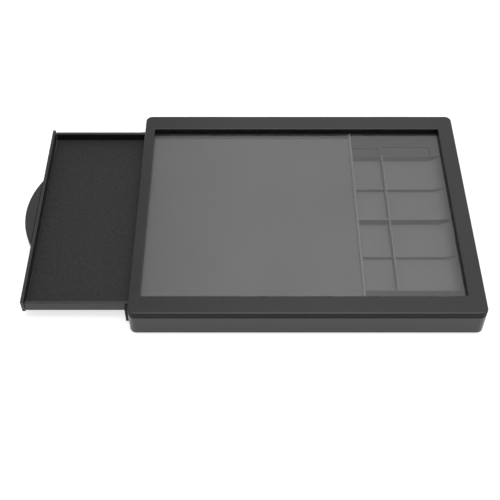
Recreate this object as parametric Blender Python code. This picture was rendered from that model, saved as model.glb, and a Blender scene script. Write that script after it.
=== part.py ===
"""Watercolor pan set: a flat case with a windowed, hinged lid, a moulded paint-well tray and a side drawer.

Metres, +Z up. The origin is the centre of the base's underside. The lid hinges along the back, +Y, and
the drawer slides out of the left side, towards -X. The drawer is modelled partly open.
"""

import math

import bmesh
import bpy
from mathutils import Matrix, Vector

MM = 0.001
GAP = 0.3 * MM

# Case
CASE_LENGTH = 300.0 * MM
CASE_DEPTH = 241.0 * MM
CASE_HEIGHT = 27.8 * MM
CORNER_RADIUS = 6.0 * MM
BASE_HEIGHT = 21.0 * MM
BASE_WALL = 2.6 * MM
BASE_FLOOR = 2.2 * MM
BASE_UNDER_ROUND = 1.0 * MM

# Lid and window
LID_WALL = 2.6 * MM
LID_EDGE_ROUND = 1.3 * MM
WINDOW_LEFT = -140.6 * MM
WINDOW_RIGHT = 135.3 * MM
WINDOW_HALF_DEPTH = 102.2 * MM
WINDOW_CORNER = 1.2 * MM
PANE_TOP = 23.3 * MM
PANE_THICKNESS = 1.2 * MM
PANE_OVERLAP = 3.0 * MM
RETAINER_THICKNESS = 0.5 * MM
RETAINER_INSET = 0.8 * MM
RETAINER_WIDTH = 4.4 * MM
RIM_NOTCH = (84.0 * MM, 87.6 * MM)
RIM_NOTCH_HEIGHT = 1.8 * MM
RIM_NOTCH_DEPTH = 0.8 * MM

# Hinge
HINGE_Y = CASE_DEPTH / 2 + 3.1 * MM
HINGE_Z = 20.8 * MM
HINGE_CENTRES = (-92.0 * MM, 92.0 * MM)
KNUCKLE_RADIUS = 2.8 * MM
KNUCKLE_LENGTH = 11.4 * MM
PIN_RADIUS = 1.0 * MM
PIN_BORE_RADIUS = 1.2 * MM

# Paint tray
TRAY_TOP = 21.0 * MM
TRAY_SKIN = 1.1 * MM
TRAY_UNDERSIDE = 19.1 * MM
MIXING_DEPTH = 0.8 * MM
MIXING_LEFT = -144.5 * MM
MIXING_RIGHT = 48.1 * MM
MIXING_FRONT = -114.5 * MM
MIXING_BACK = 95.9 * MM
WELL_DEPTH = 6.5 * MM
WELL_COLUMNS = ((50.6 * MM, 78.1 * MM), (79.1 * MM, 129.0 * MM))
WELL_ROW_PITCH = 40.9 * MM
WELL_FRONT = -92.0 * MM
WELL_ROWS = 4
WELL_PARTITION = 1.0 * MM
WELL_CORNER = 1.5 * MM
WELL_FLOOR_ROUND = 4.0 * MM
LOW_PARTITION_DROP = 3.9 * MM
LOW_PARTITIONS = (1, 3)
BRUSH_LEDGE_FRONT = 72.9 * MM
BRUSH_LEDGE_BACKS = (81.4 * MM, 83.3 * MM)
BRUSH_LEDGE_DEPTH = 1.0 * MM
DIVIDER_RIB = (48.3 * MM, 50.3 * MM)
DIVIDER_RIB_HEIGHT = 0.6 * MM
DIVIDER_RIB_HALF = 101.8 * MM

# Drawer, at the place it holds when partly open
DRAWER_LEFT = -241.9 * MM
DRAWER_MIDDLE = 2.0 * MM
DRAWER_PANEL_THICKNESS = 2.9 * MM
DRAWER_PANEL_HALF = 105.9 * MM
DRAWER_PANEL_BOTTOM = 8.3 * MM
DRAWER_PANEL_TOP = 21.1 * MM
DRAWER_HALF = 105.4 * MM
DRAWER_BOTTOM = 9.4 * MM
DRAWER_TOP = 18.8 * MM
DRAWER_WALL = 3.0 * MM
DRAWER_FLOOR = 1.4 * MM
DRAWER_RIGHT = -41.5 * MM
LINER_THICKNESS = 0.5 * MM
DRAWER_TRAVEL_OUT = 65.0 * MM

# Drawer pull
PULL_REACH = 11.3 * MM
PULL_CHORD = 82.9 * MM
PULL_TOP = 18.0 * MM
PULL_BOTTOM = 10.8 * MM
PULL_WALL = 1.9 * MM
PEG_RADIUS = 1.5 * MM
PEG_DEPTH = 1.8 * MM
PEG_Y = 17.0 * MM

# Drawer mouth
MOUTH_HALF = 105.9 * MM
MOUTH_BOTTOM = 9.0 * MM
MOUTH_TOP = 19.2 * MM
FLANGE_PROUD = 3.8 * MM
FLANGE_HALF = 108.9 * MM
FLANGE_BOTTOM = 1.2 * MM
FLANGE_TOP = 17.8 * MM
FLANGE_SCREW_Y = 60.0 * MM

# Runners, glides and stops inside the base
RUNNER_WEB = 2.0 * MM
RUNNER_SHELF = 6.0 * MM
RUNNER_SHELF_TOP = 7.7 * MM
RUNNER_RIGHT = 46.0 * MM
GLIDE_LENGTH = 60.0 * MM
BAY_WALL = (46.6 * MM, 48.6 * MM)
STOP_SIZE = (6.0 * MM, 10.0 * MM, 1.5 * MM)
STOP_Y = 90.0 * MM
LEDGE_WIDTH = 4.5 * MM

# Screws and feet
SCREW_RADIUS = 1.0 * MM
SCREW_BORE_RADIUS = 1.25 * MM
SCREW_HEAD_RADIUS = 1.6 * MM
SCREW_HEAD = 1.2 * MM
FOOT_RADIUS = 6.0 * MM
FOOT_PROUD = 1.0 * MM
FOOT_RECESS = 0.6 * MM
FOOT_X = 128.0 * MM
FOOT_Y = 98.0 * MM

HALF_LENGTH = CASE_LENGTH / 2
HALF_DEPTH = CASE_DEPTH / 2
MOUTH_FRONT = DRAWER_MIDDLE - MOUTH_HALF
MOUTH_BACK = DRAWER_MIDDLE + MOUTH_HALF
DRAWER_FRONT = DRAWER_MIDDLE - DRAWER_HALF
DRAWER_BACK = DRAWER_MIDDLE + DRAWER_HALF
LID_BOTTOM = BASE_HEIGHT + GAP
LID_PLATE_UNDERSIDE = PANE_TOP + GAP
ROUND_STEPS = 4
CIRCLE_STEPS = 24
BEYOND = 1.0 * MM

PARTS = "watercolor_pan_set"
CUTTERS = "cutters"


# Scene helpers


def clear_scene():
    for obj in list(bpy.data.objects):
        bpy.data.objects.remove(obj, do_unlink=True)
    for name in (PARTS, CUTTERS):
        collection = bpy.data.collections.new(name)
        bpy.context.scene.collection.children.link(collection)
    bpy.data.collections[CUTTERS].hide_render = True


def plastic(name, colour, roughness, alpha=1.0):
    """A plain moulded-plastic or rubber material."""
    material = bpy.data.materials.new(name)
    material.use_nodes = True
    shader = material.node_tree.nodes["Principled BSDF"]
    shader.inputs["Base Color"].default_value = (*colour, 1.0)
    shader.inputs["Roughness"].default_value = roughness
    shader.inputs["Metallic"].default_value = 0.0
    shader.inputs["Alpha"].default_value = alpha
    return material


def steel(name, colour, roughness):
    material = plastic(name, colour, roughness)
    material.node_tree.nodes["Principled BSDF"].inputs["Metallic"].default_value = 1.0
    return material


def add_part(name, mesh, material, parent=None):
    """Puts a mesh in the parts collection as one named sub-part."""
    part = bpy.data.objects.new(name, mesh)
    part.data.materials.append(material)
    bpy.data.collections[PARTS].objects.link(part)
    if parent is not None:
        part.parent = parent
        part.matrix_parent_inverse = parent.matrix_world.inverted()
    return part


def add_tool(name, mesh):
    """Puts a mesh in the cutters collection, out of the render."""
    tool = bpy.data.objects.new(name, mesh)
    tool.hide_render = True
    tool.display_type = "WIRE"
    bpy.data.collections[CUTTERS].objects.link(tool)
    return tool


def apply_tool(target, tool, operation):
    modifier = target.modifiers.new(f"{operation.lower()} {tool.name}", "BOOLEAN")
    modifier.operation = operation
    modifier.solver = "EXACT"
    modifier.object = tool


def cut(target, name, mesh):
    tool = add_tool(name, mesh)
    apply_tool(target, tool, "DIFFERENCE")
    return tool


def join(target, name, mesh):
    tool = add_tool(name, mesh)
    apply_tool(target, tool, "UNION")
    return tool


def add_axis(name, location):
    """An empty on a joint's axis, which the pieces that move together are parented to."""
    axis = bpy.data.objects.new(name, None)
    axis.location = location
    bpy.data.collections[PARTS].objects.link(axis)
    bpy.context.view_layer.update()
    return axis


# Mesh helpers


def round_edges(shape, chosen, radius, steps):
    edges = [edge for edge in shape.edges if chosen(edge)]
    bmesh.ops.bevel(
        shape, geom=edges, offset=radius, segments=steps, profile=0.5, affect="EDGES"
    )


def box(low, high, upright=0.0, under=0.0, over=0.0, steps=ROUND_STEPS):
    """A box between two corners, with its upright, lower and upper edges rounded as asked."""
    low, high = Vector(low), Vector(high)
    shape = bmesh.new()
    bmesh.ops.create_cube(shape, size=1.0)
    bmesh.ops.scale(shape, vec=high - low, verts=shape.verts)
    bmesh.ops.translate(shape, vec=(low + high) / 2, verts=shape.verts)
    tiny = 1e-7

    def stands(edge):
        a, b = (vert.co for vert in edge.verts)
        return abs(a.x - b.x) < tiny and abs(a.y - b.y) < tiny

    def lies_at(height):
        return lambda edge: all(abs(vert.co.z - height) < tiny for vert in edge.verts)

    if upright:
        round_edges(shape, stands, upright, steps)
    if under:
        round_edges(shape, lies_at(low.z), under, steps)
    if over:
        round_edges(shape, lies_at(high.z), over, steps)
    return to_mesh(shape, "box")


def rod(start, end, radius, steps=CIRCLE_STEPS):
    """A solid cylinder between two points."""
    start, end = Vector(start), Vector(end)
    along = end - start
    turn = along.to_track_quat("Z", "Y").to_matrix().to_4x4()
    place = Matrix.Translation((start + end) / 2) @ turn
    shape = bmesh.new()
    bmesh.ops.create_cone(
        shape,
        cap_ends=True,
        segments=steps,
        radius1=radius,
        radius2=radius,
        depth=along.length,
        matrix=place,
    )
    return to_mesh(shape, "rod")


def to_mesh(shape, name):
    bmesh.ops.recalc_face_normals(shape, faces=shape.faces)
    mesh = bpy.data.meshes.new(name)
    shape.to_mesh(mesh)
    shape.free()
    return mesh


def shade_round(part):
    part.data.shade_smooth()
    part.data.set_sharp_from_angle(angle=math.radians(35))


# Case: everything that stays still


def make_base_shell(material):
    """The lower tray of the case, open on top, with the drawer's mouth cut in its left wall."""
    base = add_part(
        "base_shell",
        box(
            (-HALF_LENGTH, -HALF_DEPTH, 0),
            (HALF_LENGTH, HALF_DEPTH, BASE_HEIGHT),
            upright=CORNER_RADIUS,
            under=BASE_UNDER_ROUND,
            steps=5,
        ),
        material,
    )
    inner_x = HALF_LENGTH - BASE_WALL
    inner_y = HALF_DEPTH - BASE_WALL
    cut(
        base,
        "base_hollow",
        box(
            (-inner_x, -inner_y, BASE_FLOOR),
            (inner_x, inner_y, BASE_HEIGHT + BEYOND),
            upright=CORNER_RADIUS - BASE_WALL,
        ),
    )
    cut(
        base,
        "drawer_mouth",
        box(
            (-HALF_LENGTH - BEYOND, MOUTH_FRONT, MOUTH_BOTTOM),
            (-inner_x + BEYOND, MOUTH_BACK, MOUTH_TOP),
        ),
    )
    join(
        base,
        "tray_ledge",
        box(
            (inner_x - LEDGE_WIDTH, -inner_y + CORNER_RADIUS, BASE_FLOOR - BEYOND),
            (inner_x + BEYOND, inner_y - CORNER_RADIUS, TRAY_UNDERSIDE - GAP),
        ),
    )
    for centre in HINGE_CENTRES:
        for side in (-1, 1):
            middle = centre + side * (KNUCKLE_LENGTH + GAP)
            add_knuckle(base, middle, KNUCKLE_LENGTH, -KNUCKLE_RADIUS, -0.2 * MM)
    for centre in HINGE_CENTRES:
        cut_pin_bore(base, centre)
    for x in (-FOOT_X, FOOT_X):
        for y in (-FOOT_Y, FOOT_Y):
            cut(base, "foot_recess", rod((x, y, -BEYOND), (x, y, FOOT_RECESS), FOOT_RADIUS + GAP))
    for y in (-FLANGE_SCREW_Y, FLANGE_SCREW_Y):
        z = flange_screw_height()
        start = (-HALF_LENGTH - BEYOND, y, z)
        end = (-inner_x + BEYOND, y, z)
        cut(base, "flange_screw_bore", rod(start, end, SCREW_BORE_RADIUS, 16))
    return base


def flange_screw_height():
    return (FLANGE_BOTTOM + MOUTH_BOTTOM) / 2


def add_knuckle(target, middle, length, arm_low, arm_high):
    """One barrel of a hinge, with the arm that joins it to the wall it belongs to."""
    half = length / 2
    join(
        target,
        "knuckle_arm",
        box(
            (middle - half, HALF_DEPTH - BEYOND, HINGE_Z + arm_low),
            (middle + half, HINGE_Y, HINGE_Z + arm_high),
        ),
    )
    start = (middle - half, HINGE_Y, HINGE_Z)
    end = (middle + half, HINGE_Y, HINGE_Z)
    join(target, "knuckle_barrel", rod(start, end, KNUCKLE_RADIUS))


def cut_pin_bore(target, centre):
    reach = 2 * KNUCKLE_LENGTH
    start = (centre - reach, HINGE_Y, HINGE_Z)
    end = (centre + reach, HINGE_Y, HINGE_Z)
    cut(target, "pin_bore", rod(start, end, PIN_BORE_RADIUS))


def make_hinge_pins(material):
    half = 1.5 * KNUCKLE_LENGTH
    for name, centre in zip(("hinge_pin_left", "hinge_pin_right"), HINGE_CENTRES):
        start = (centre - half, HINGE_Y, HINGE_Z)
        end = (centre + half, HINGE_Y, HINGE_Z)
        shade_round(add_part(name, rod(start, end, PIN_RADIUS), material))


def make_mouth_flange(material):
    """The U-shaped plate round the sill and ends of the drawer's mouth, proud of the left side."""
    outer = -HALF_LENGTH - FLANGE_PROUD
    flange = add_part(
        "mouth_flange",
        box(
            (outer, -FLANGE_HALF, FLANGE_BOTTOM),
            (-HALF_LENGTH - GAP, FLANGE_HALF, FLANGE_TOP),
        ),
        material,
    )
    cut(
        flange,
        "flange_mouth",
        box(
            (outer - BEYOND, MOUTH_FRONT, MOUTH_BOTTOM),
            (-HALF_LENGTH + BEYOND, MOUTH_BACK, FLANGE_TOP + BEYOND),
        ),
    )
    for y in (-FLANGE_SCREW_Y, FLANGE_SCREW_Y):
        z = flange_screw_height()
        start = (outer + BEYOND, y, z)
        end = (-HALF_LENGTH + BEYOND, y, z)
        cut(flange, "flange_screw_seat", rod(start, end, SCREW_BORE_RADIUS, 16))


def make_screw(name, head_at, tip_at, material, parent=None):
    """A pan-head screw. Its head's underside is at head_at and its shank ends at tip_at."""
    head_at, tip_at = Vector(head_at), Vector(tip_at)
    away = (head_at - tip_at).normalized()
    screw = add_part(name, rod(tip_at, head_at + away * SCREW_HEAD / 2, SCREW_RADIUS, 16), material, parent)
    join(screw, f"{name}_head", rod(head_at, head_at + away * SCREW_HEAD, SCREW_HEAD_RADIUS, 16))
    shade_round(screw)


def make_flange_screws(material):
    z = flange_screw_height()
    head_x = -HALF_LENGTH + BASE_WALL + GAP
    tip_x = -HALF_LENGTH - FLANGE_PROUD + BEYOND + GAP
    for name, y in (("flange_screw_front", -FLANGE_SCREW_Y), ("flange_screw_back", FLANGE_SCREW_Y)):
        make_screw(name, (head_x, y, z), (tip_x, y, z), material)


def make_runners(material):
    """Two angle rails: the web guides the drawer's side and carries the tray, the shelf carries the glide."""
    left = -HALF_LENGTH + BASE_WALL + GAP
    for name, side in (("drawer_runner_front", -1), ("drawer_runner_back", 1)):
        near = DRAWER_MIDDLE + side * (MOUTH_HALF + GAP / 2)
        far = near + side * RUNNER_WEB
        shelf_edge = near - side * RUNNER_SHELF
        runner = add_part(
            name,
            box(
                (left, min(near, far), BASE_FLOOR + GAP),
                (RUNNER_RIGHT, max(near, far), TRAY_UNDERSIDE - GAP),
            ),
            material,
        )
        inside = near + side * RUNNER_WEB / 2
        join(
            runner,
            f"{name}_shelf",
            box(
                (left, min(shelf_edge, inside), BASE_FLOOR + GAP),
                (RUNNER_RIGHT, max(shelf_edge, inside), RUNNER_SHELF_TOP),
            ),
        )


def make_glides(material):
    """Low-friction strips on the runners, near the mouth."""
    left = -HALF_LENGTH + BASE_WALL + 2 * MM
    for name, side in (("glide_front", -1), ("glide_back", 1)):
        outer = DRAWER_MIDDLE + side * (MOUTH_HALF - GAP)
        inner = DRAWER_MIDDLE + side * (MOUTH_HALF - RUNNER_SHELF + GAP)
        add_part(
            name,
            box(
                (left, min(outer, inner), RUNNER_SHELF_TOP + GAP),
                (left + GLIDE_LENGTH, max(outer, inner), DRAWER_BOTTOM - GAP),
            ),
            material,
        )


def make_bay_wall(material):
    """The upright wall between the drawer's bay and the wells, which also stops the closed drawer."""
    half = HALF_DEPTH - BASE_WALL - CORNER_RADIUS
    add_part(
        "bay_wall",
        box(
            (BAY_WALL[0], -half, BASE_FLOOR + GAP),
            (BAY_WALL[1], half, TRAY_UNDERSIDE - GAP),
        ),
        material,
    )


def make_feet(material):
    for x, across in ((-FOOT_X, "left"), (FOOT_X, "right")):
        for y, along in ((-FOOT_Y, "front"), (FOOT_Y, "back")):
            start = (x, y, -FOOT_PROUD)
            end = (x, y, FOOT_RECESS - GAP)
            shade_round(add_part(f"foot_{along}_{across}", rod(start, end, FOOT_RADIUS), material))


def make_palette_tray(material):
    """The moulded insert: a shallow mixing area, a divider rib, brush ledges and two columns of paint wells."""
    edge_x = HALF_LENGTH - BASE_WALL - GAP
    edge_y = HALF_DEPTH - BASE_WALL - GAP
    tray = add_part(
        "palette_tray",
        box(
            (-edge_x, -edge_y, TRAY_UNDERSIDE),
            (edge_x, edge_y, TRAY_TOP),
            upright=CORNER_RADIUS - BASE_WALL - GAP,
        ),
        material,
    )
    well_left = WELL_COLUMNS[0][0]
    well_right = WELL_COLUMNS[-1][1]
    join(
        tray,
        "well_block",
        box(
            (well_left - TRAY_SKIN, WELL_FRONT - TRAY_SKIN, TRAY_TOP - WELL_DEPTH - TRAY_SKIN),
            (well_right + TRAY_SKIN, BRUSH_LEDGE_FRONT + TRAY_SKIN, TRAY_TOP - BEYOND),
            upright=WELL_CORNER,
            under=WELL_FLOOR_ROUND / 2,
        ),
    )
    cut(
        tray,
        "mixing_area",
        box(
            (MIXING_LEFT, MIXING_FRONT, TRAY_TOP - MIXING_DEPTH),
            (MIXING_RIGHT, MIXING_BACK, TRAY_TOP + BEYOND),
            upright=WELL_CORNER,
        ),
    )
    half_wall = WELL_PARTITION / 2
    for left, right in WELL_COLUMNS:
        for row in range(WELL_ROWS):
            front = WELL_FRONT + row * WELL_ROW_PITCH
            cut(
                tray,
                "well",
                box(
                    (left, front + half_wall, TRAY_TOP - WELL_DEPTH),
                    (right, front + WELL_ROW_PITCH - half_wall, TRAY_TOP + BEYOND),
                    upright=WELL_CORNER,
                    under=WELL_FLOOR_ROUND - BEYOND,
                ),
            )
        for row in LOW_PARTITIONS:
            middle = WELL_FRONT + row * WELL_ROW_PITCH
            cut(
                tray,
                "low_partition",
                box(
                    (left, middle - WELL_CORNER - BEYOND, TRAY_TOP - LOW_PARTITION_DROP),
                    (right, middle + WELL_CORNER + BEYOND, TRAY_TOP + BEYOND),
                ),
            )
    for (left, right), back in zip(WELL_COLUMNS, BRUSH_LEDGE_BACKS):
        cut(
            tray,
            "brush_ledge",
            box(
                (left, BRUSH_LEDGE_FRONT, TRAY_TOP - BRUSH_LEDGE_DEPTH),
                (right, back, TRAY_TOP + BEYOND),
                upright=WELL_CORNER,
            ),
        )
    join(
        tray,
        "divider_rib",
        box(
            (DIVIDER_RIB[0], -DIVIDER_RIB_HALF, TRAY_TOP - BEYOND),
            (DIVIDER_RIB[1], DIVIDER_RIB_HALF, TRAY_TOP + DIVIDER_RIB_HEIGHT),
            over=0.3 * MM,
            steps=2,
        ),
    )


# Lid: everything that turns about the hinge


def make_lid_frame(material, axis):
    """The wide bezel round the window, hollow underneath, with the moving knuckles of the hinge."""
    frame = add_part(
        "lid_frame",
        box(
            (-HALF_LENGTH, -HALF_DEPTH, LID_BOTTOM),
            (HALF_LENGTH, HALF_DEPTH, CASE_HEIGHT),
            upright=CORNER_RADIUS,
            over=LID_EDGE_ROUND,
            steps=5,
        ),
        material,
        axis,
    )
    inner_x = HALF_LENGTH - LID_WALL
    inner_y = HALF_DEPTH - LID_WALL
    cut(
        frame,
        "lid_hollow",
        box(
            (-inner_x, -inner_y, LID_BOTTOM - BEYOND),
            (inner_x, inner_y, LID_PLATE_UNDERSIDE),
            upright=CORNER_RADIUS - LID_WALL,
        ),
    )
    cut(
        frame,
        "window_opening",
        box(
            (WINDOW_LEFT, -WINDOW_HALF_DEPTH, LID_BOTTOM - BEYOND),
            (WINDOW_RIGHT, WINDOW_HALF_DEPTH, CASE_HEIGHT + BEYOND),
            upright=WINDOW_CORNER,
        ),
    )
    cut(
        frame,
        "rim_notch",
        box(
            (RIM_NOTCH[0], WINDOW_HALF_DEPTH - BEYOND, LID_BOTTOM),
            (RIM_NOTCH[1], WINDOW_HALF_DEPTH + RIM_NOTCH_DEPTH, LID_PLATE_UNDERSIDE + RIM_NOTCH_HEIGHT),
        ),
    )
    for centre in HINGE_CENTRES:
        add_knuckle(frame, centre, KNUCKLE_LENGTH, 0.7 * MM, KNUCKLE_RADIUS)
        cut_pin_bore(frame, centre)


def window_box(grow, low, high, upright=0.0):
    """A box over the window opening, larger than it by grow on every side."""
    return box(
        (WINDOW_LEFT - grow, -WINDOW_HALF_DEPTH - grow, low),
        (WINDOW_RIGHT + grow, WINDOW_HALF_DEPTH + grow, high),
        upright=upright,
    )


def make_window_pane(material, axis):
    low = PANE_TOP - PANE_THICKNESS
    add_part("window_pane", window_box(PANE_OVERLAP, low, PANE_TOP, WINDOW_CORNER), material, axis)


def make_pane_retainer(material, axis):
    """The thin ring under the pane's edge that holds it in the frame."""
    high = PANE_TOP - PANE_THICKNESS - GAP
    low = high - RETAINER_THICKNESS
    outer = RETAINER_INSET + RETAINER_WIDTH
    ring = add_part("pane_retainer", window_box(outer, low, high, WINDOW_CORNER), material, axis)
    cut(ring, "retainer_opening", window_box(RETAINER_INSET, low - BEYOND, high + BEYOND))


# Drawer: everything that slides


def make_drawer_tray(material, axis):
    """The shallow tray: a floor and three walls. The end panel closes its left end."""
    left = DRAWER_LEFT + DRAWER_PANEL_THICKNESS + GAP
    tray = add_part(
        "drawer_tray",
        box((left, DRAWER_FRONT, DRAWER_BOTTOM), (DRAWER_RIGHT, DRAWER_BACK, DRAWER_TOP)),
        material,
        axis,
    )
    cut(
        tray,
        "drawer_hollow",
        box(
            (left - BEYOND, DRAWER_FRONT + DRAWER_WALL, DRAWER_BOTTOM + DRAWER_FLOOR),
            (DRAWER_RIGHT - DRAWER_WALL, DRAWER_BACK - DRAWER_WALL, DRAWER_TOP + BEYOND),
        ),
    )


def make_drawer_liner(material, axis):
    """The loose textured sheet on the drawer's floor."""
    low = DRAWER_BOTTOM + DRAWER_FLOOR + GAP
    inset = DRAWER_WALL + GAP
    add_part(
        "drawer_liner",
        box(
            (DRAWER_LEFT + DRAWER_PANEL_THICKNESS + GAP, DRAWER_FRONT + inset, low),
            (DRAWER_RIGHT - inset, DRAWER_BACK - inset, low + LINER_THICKNESS),
        ),
        material,
        axis,
    )


def make_drawer_panel(material, axis):
    """The taller plate on the drawer's outer end, with the blind bores that the pull's pegs push into."""
    right = DRAWER_LEFT + DRAWER_PANEL_THICKNESS
    panel = add_part(
        "drawer_end_panel",
        box(
            (DRAWER_LEFT, DRAWER_MIDDLE - DRAWER_PANEL_HALF, DRAWER_PANEL_BOTTOM),
            (right, DRAWER_MIDDLE + DRAWER_PANEL_HALF, DRAWER_PANEL_TOP),
            over=0.5 * MM,
            steps=2,
        ),
        material,
        axis,
    )
    for y in (DRAWER_MIDDLE - PEG_Y, DRAWER_MIDDLE + PEG_Y):
        start = (DRAWER_LEFT - BEYOND, y, peg_height())
        end = (DRAWER_LEFT + PEG_DEPTH + GAP, y, peg_height())
        cut(panel, "peg_bore", rod(start, end, PEG_RADIUS + GAP, 16))


def peg_height():
    return (PULL_BOTTOM + PULL_TOP) / 2


def make_drawer_pull(material, axis):
    """A crescent grip, open underneath for the fingertips, with two pegs on its back plate."""
    plane = DRAWER_LEFT - GAP
    reach = PULL_REACH - GAP
    radius = ((PULL_CHORD / 2) ** 2 + reach**2) / (2 * reach)
    centre_x = plane - reach + radius
    centre_y = DRAWER_MIDDLE
    front, back = centre_y - 2 * radius, centre_y + 2 * radius
    pull = add_part(
        "drawer_pull",
        rod((centre_x, centre_y, PULL_BOTTOM), (centre_x, centre_y, PULL_TOP), radius, 160),
        material,
        axis,
    )
    cut(
        pull,
        "pull_back_plane",
        box((plane, front, PULL_BOTTOM - BEYOND), (plane + 3 * radius, back, PULL_TOP + BEYOND)),
    )
    hollow = add_tool(
        "pull_hollow",
        rod(
            (centre_x, centre_y, PULL_BOTTOM - BEYOND),
            (centre_x, centre_y, PULL_TOP - PULL_WALL),
            radius - PULL_WALL,
            160,
        ),
    )
    wall_tool = add_tool(
        "pull_back_plate",
        box(
            (plane - PULL_WALL, front, PULL_BOTTOM - 2 * BEYOND),
            (plane + 3 * radius, back, PULL_TOP),
        ),
    )
    apply_tool(hollow, wall_tool, "DIFFERENCE")
    apply_tool(pull, hollow, "DIFFERENCE")
    for y in (centre_y - PEG_Y, centre_y + PEG_Y):
        start = (plane - PULL_WALL / 2, y, peg_height())
        end = (DRAWER_LEFT + PEG_DEPTH, y, peg_height())
        join(pull, "pull_peg", rod(start, end, PEG_RADIUS, 16))


def make_drawer_stops(material, axis):
    """Blocks under the drawer's floor that meet the wall below the mouth at full opening."""
    left = -HALF_LENGTH + BASE_WALL + GAP + DRAWER_TRAVEL_OUT
    high = DRAWER_BOTTOM - GAP
    for name, side in (("drawer_stop_front", -1), ("drawer_stop_back", 1)):
        middle = DRAWER_MIDDLE + side * STOP_Y
        add_part(
            name,
            box(
                (left, middle - STOP_SIZE[1] / 2, high - STOP_SIZE[2]),
                (left + STOP_SIZE[0], middle + STOP_SIZE[1] / 2, high),
            ),
            material,
            axis,
        )


def main():
    clear_scene()
    black = plastic("black_gloss_plastic", (0.018, 0.018, 0.019), 0.28)
    satin = plastic("black_satin_plastic", (0.022, 0.022, 0.023), 0.45)
    grey = plastic("grey_palette_plastic", (0.11, 0.11, 0.11), 0.4)
    clear = plastic("clear_window_plastic", (0.9, 0.9, 0.9), 0.08, alpha=0.25)
    liner = plastic("drawer_liner_sheet", (0.02, 0.02, 0.021), 0.8)
    rubber = plastic("black_rubber", (0.015, 0.015, 0.015), 0.75)
    glide = plastic("white_glide_plastic", (0.75, 0.75, 0.73), 0.4)
    metal = steel("screw_steel", (0.55, 0.55, 0.56), 0.3)

    make_base_shell(black)
    make_mouth_flange(satin)
    make_flange_screws(metal)
    make_runners(satin)
    make_glides(glide)
    make_bay_wall(satin)
    make_feet(rubber)
    make_hinge_pins(metal)
    make_palette_tray(grey)

    lid_axis = add_axis("lid_hinge_axis", (0, HINGE_Y, HINGE_Z))
    make_lid_frame(black, lid_axis)
    make_window_pane(clear, lid_axis)
    make_pane_retainer(satin, lid_axis)

    drawer_axis = add_axis("drawer_slide_axis", (DRAWER_LEFT, DRAWER_MIDDLE, (DRAWER_BOTTOM + DRAWER_TOP) / 2))
    make_drawer_tray(satin, drawer_axis)
    make_drawer_liner(liner, drawer_axis)
    make_drawer_panel(satin, drawer_axis)
    make_drawer_pull(satin, drawer_axis)
    make_drawer_stops(rubber, drawer_axis)


main()
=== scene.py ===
"""Looks of the watercolor pan set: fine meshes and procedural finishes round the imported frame."""

import math

import bmesh
import bpy
import numpy as np
from bpy.props import FloatProperty, FloatVectorProperty, PointerProperty
from mathutils import Matrix, Vector


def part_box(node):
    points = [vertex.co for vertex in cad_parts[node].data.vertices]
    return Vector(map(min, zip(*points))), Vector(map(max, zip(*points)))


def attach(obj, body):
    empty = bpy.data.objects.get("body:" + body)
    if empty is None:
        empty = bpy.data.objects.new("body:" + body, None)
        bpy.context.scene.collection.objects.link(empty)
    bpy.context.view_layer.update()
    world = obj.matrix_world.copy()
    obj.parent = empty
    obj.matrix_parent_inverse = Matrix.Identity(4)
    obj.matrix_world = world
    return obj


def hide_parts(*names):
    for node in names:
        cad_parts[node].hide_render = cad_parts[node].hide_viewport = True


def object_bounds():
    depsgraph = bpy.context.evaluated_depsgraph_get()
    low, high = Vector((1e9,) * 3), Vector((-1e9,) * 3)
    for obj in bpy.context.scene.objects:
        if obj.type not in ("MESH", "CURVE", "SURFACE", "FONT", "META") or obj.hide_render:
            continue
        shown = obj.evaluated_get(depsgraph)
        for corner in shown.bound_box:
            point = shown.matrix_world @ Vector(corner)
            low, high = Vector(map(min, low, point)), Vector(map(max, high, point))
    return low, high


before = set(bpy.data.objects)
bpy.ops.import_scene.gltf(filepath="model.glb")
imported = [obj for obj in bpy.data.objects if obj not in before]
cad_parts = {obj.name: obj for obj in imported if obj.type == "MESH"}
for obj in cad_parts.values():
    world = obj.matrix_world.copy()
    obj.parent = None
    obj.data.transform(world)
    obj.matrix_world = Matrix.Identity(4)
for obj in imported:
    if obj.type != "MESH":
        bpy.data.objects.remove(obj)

bl_info = {
    "name": "Watercolor Pan Set",
    "version": (1, 0, 0),
    "blender": (4, 5, 0),
    "location": "View3D > Sidebar > Pan Set",
    "description": "Builds the case, lid, paint insert and side drawer round the packed frame",
    "category": "Object",
}

CAD_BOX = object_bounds()
MM = 0.001
GAP = 0.3 * MM


# Fixed details of the mouldings

FLOOR_THICKNESS = 2.2 * MM
LEAST_CORNER = 1.2 * MM
WINDOW_CORNER = 1.2 * MM
WINDOW_EDGE = 0.5 * MM
BAND_CHAMFER = (0.13 * MM, 0.15 * MM)
KNUCKLE_RADIUS = 2.8 * MM
KNUCKLE_OVERLAP = 0.8 * MM
PIN_BORE_RADIUS = 1.2 * MM
PIN_BORE_REACH = 25 * MM
BASE_ARM = (-2.8 * MM, -0.2 * MM)
LID_ARM = (0.7 * MM, 2.8 * MM)
SCREW_BORE_RADIUS = 1.25 * MM
NOTCH = (84.0 * MM, 87.6 * MM)
NOTCH_HEIGHT = 1.8 * MM
MOUTH_SLACK = 0.5 * MM
MOUTH_LIFT = 0.4 * MM
PLATE_EDGE = 0.4 * MM
CUT_PAST = 5 * MM

DRAWER_WALL = 3.0 * MM
DRAWER_FLOOR = 1.4 * MM
GRIP_WALL = 1.9 * MM
GRIP_EDGE = 1.0 * MM
PEG_Y = 17 * MM
PEG_RADIUS = 1.5 * MM
PEG_BORE_RADIUS = PEG_RADIUS + GAP
FOOT_EDGE = 0.4 * MM

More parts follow.
